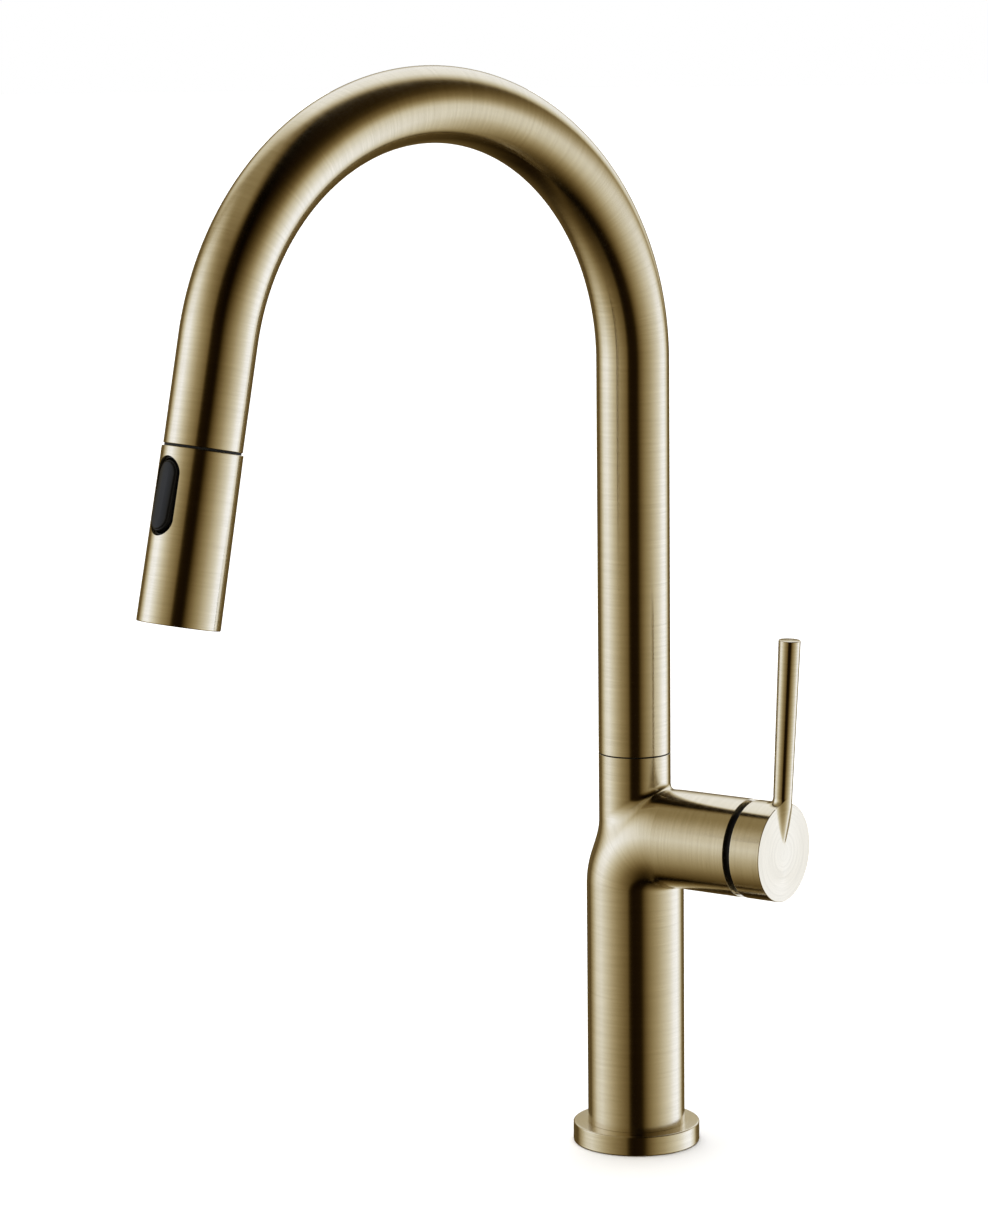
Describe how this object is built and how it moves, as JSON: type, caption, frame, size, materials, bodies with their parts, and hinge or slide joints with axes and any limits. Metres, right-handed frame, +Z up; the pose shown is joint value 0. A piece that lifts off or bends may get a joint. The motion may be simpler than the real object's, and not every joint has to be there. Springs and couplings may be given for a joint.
{
  "type": "pull-down kitchen faucet",
  "caption": "Brushed champagne-gold kitchen faucet with an arched swivel spout, a pull-down spray head with a black rocker, and a side lever on a short barrel.",
  "frame": {"origin": "centre of the base flange's underside, on the deck plane and on the column's axis", "axes": "+Z up the column, +X along the barrel towards the lever's hub; the spout points 14 degrees past -Y, away from the lever"},
  "size_m": [0.1414, 0.2488, 0.4206],
  "materials": {
    "brushed_gold": "fine brushed champagne gold, the grain running round each tube",
    "brass": "turned, unplated",
    "copper": "drawn pipe, dull",
    "steel": "stainless, ground",
    "rubber": "moulded, matt",
    "nylon": "moulded, matt",
    "ceramic": null,
    "black_plastic": "satin black moulding with a fine grain",
    "chromed_mesh": "grey moulding, satin",
    "hose_braid": "woven nylon braid, dark grey"
  },
  "bodies": {
    "faucet_body": {"base_flange": "brushed_gold", "deck_seal": "rubber", "base_insert": "brass", "body_shell": "brushed_gold", "hot_pipe": "copper", "cold_pipe": "copper", "mixed_pipe": "copper", "valve_block": "brass", "port_seals": "rubber", "cartridge_case": "nylon", "fixed_disc": "ceramic", "cartridge_nut": "brass", "gap_ring": "black_plastic", "slip_washer": "black_plastic", "swivel_bushes": "nylon", "friction_ring": "rubber", "stop_pin": "steel"},
    "spout": {"spout_tube": "brushed_gold", "swivel_sleeve": "brass", "retaining_clip": "steel", "dock_collar": "black_plastic", "pull_hose": "hose_braid"},
    "spray_head": {"hose_lead": "hose_braid", "hose_fitting": "brass", "inlet_screen": "steel", "spray_core": "black_plastic", "neck_seal": "rubber", "spray_shell": "brushed_gold", "rocker_frame": "black_plastic", "rocker_pin": "steel", "spray_face": "black_plastic", "spray_nozzles": "rubber", "aerator": "chromed_mesh"},
    "rocker": {"rocker_button": "black_plastic"},
    "diverter": {"diverter_plunger": "nylon"},
    "turntable": {"turntable": "nylon", "pivot_pin": "steel"},
    "disc_slider": {"sliding_disc": "ceramic", "disc_carrier": "nylon"},
    "handle": {"stem": "brass", "handle_hub": "brushed_gold", "lever_rod": "brushed_gold", "grub_screw": "steel", "hub_plug": "brushed_gold"}
  },
  "joints": [
    {"name": "spout_swivel", "type": "hinge", "parent": "faucet_body", "child": "spout", "pos_m": [0, 0, 0.155], "axis": [0, 0, 1], "range_deg": [-61, 89]},
    {"name": "spray_pull", "type": "slide", "parent": "spout", "child": "spray_head", "axis": [-0.0474, -0.1901, -0.9806], "range_m": [0, 0.2], "deforming": ["hose_lead"]},
    {"name": "rocker_tilt", "type": "hinge", "parent": "spray_head", "child": "rocker", "pos_m": [-0.05278, -0.21167, 0.27369], "axis": [0.9703, -0.2419, 0], "range_deg": [0, 6]},
    {"name": "diverter_slide", "type": "slide", "parent": "spray_head", "child": "diverter", "axis": [0.2372, 0.9515, -0.1959], "range_m": [0, 0.0009]},
    {"name": "handle_turn", "type": "hinge", "parent": "faucet_body", "child": "turntable", "pos_m": [0.036, 0, 0.123], "axis": [1, 0, 0], "range_deg": [-45, 45]},
    {"name": "handle_lift", "type": "hinge", "parent": "turntable", "child": "handle", "pos_m": [0.036, 0, 0.123], "axis": [0, 1, 0], "range_deg": [0, 20]},
    {"name": "disc_slide", "type": "slide", "parent": "turntable", "child": "disc_slider", "axis": [0, 0, 1], "range_m": [0, 0.0016]}
  ],
  "couplings": [
    {"joint": "diverter_slide", "follows": "rocker_tilt", "m_per_rad": 0.0082},
    {"joint": "disc_slide", "follows": "handle_lift", "m_per_rad": 0.004409}
  ]
}
